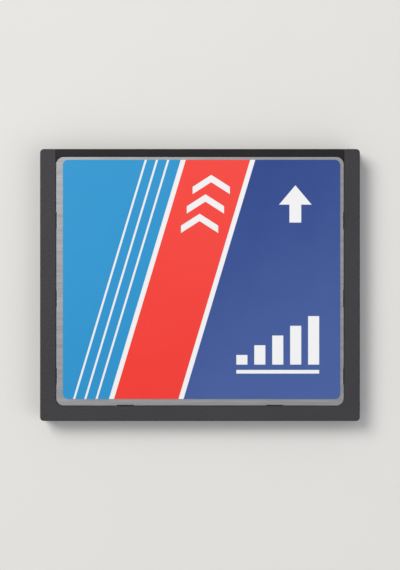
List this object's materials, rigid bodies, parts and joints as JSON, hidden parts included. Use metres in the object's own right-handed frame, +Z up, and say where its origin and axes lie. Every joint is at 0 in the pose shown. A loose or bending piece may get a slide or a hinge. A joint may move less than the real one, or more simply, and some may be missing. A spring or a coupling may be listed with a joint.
{
  "type": "compact flash memory card",
  "caption": "Thin rectangular memory card: plastic frame, two steel panels, printed front label and a socket edge between two keyed guide grooves.",
  "frame": {"origin": "centre of the underside", "axes": "+Z up out of the label face, +X along the contact edge to the right of the label, +Y towards the contact edge"},
  "size_m": [0.0428, 0.0364, 0.0033],
  "materials": {
    "frame_plastic": "fine moulded texture, satin",
    "socket_plastic": "smooth moulded black",
    "panel_steel": "fine brushed",
    "insulating_film": "amber film",
    "label_film": "satin white film",
    "navy_ink": "semi-gloss print",
    "sky_ink": "semi-gloss print",
    "red_ink": "semi-gloss print",
    "contact_metal": "gold-plated",
    "board_laminate": "green solder mask",
    "package_resin": "matt moulding resin",
    "tinned_leads": "tinned",
    "crystal_can": "metal-lidded ceramic",
    "capacitor_ceramic": "fired ceramic with tinned ends",
    "resistor_ceramic": "coated ceramic with tinned ends"
  },
  "bodies": {
    "root": {"upper_frame": "frame_plastic", "lower_frame": "frame_plastic", "upper_panel": "panel_steel", "lower_panel": "panel_steel", "upper_insulator": "insulating_film", "lower_insulator": "insulating_film", "label_film": "label_film", "navy_print": "navy_ink", "sky_print": "sky_ink", "red_print": "red_ink", "socket_housing": "socket_plastic", "upper_row_contacts": "contact_metal", "lower_row_contacts": "contact_metal", "circuit_board": "board_laminate", "controller_chip": "package_resin", "controller_leads": "tinned_leads", "upper_flash_chip": "package_resin", "upper_flash_leads": "tinned_leads", "lower_flash_chip": "package_resin", "lower_flash_leads": "tinned_leads", "voltage_regulator": "package_resin", "regulator_leads": "tinned_leads", "clock_crystal": "crystal_can", "bulk_capacitors": "capacitor_ceramic", "decoupling_capacitors": "capacitor_ceramic", "resistors": "resistor_ceramic", "resistor_arrays": "resistor_ceramic"}
  },
  "joints": []
}
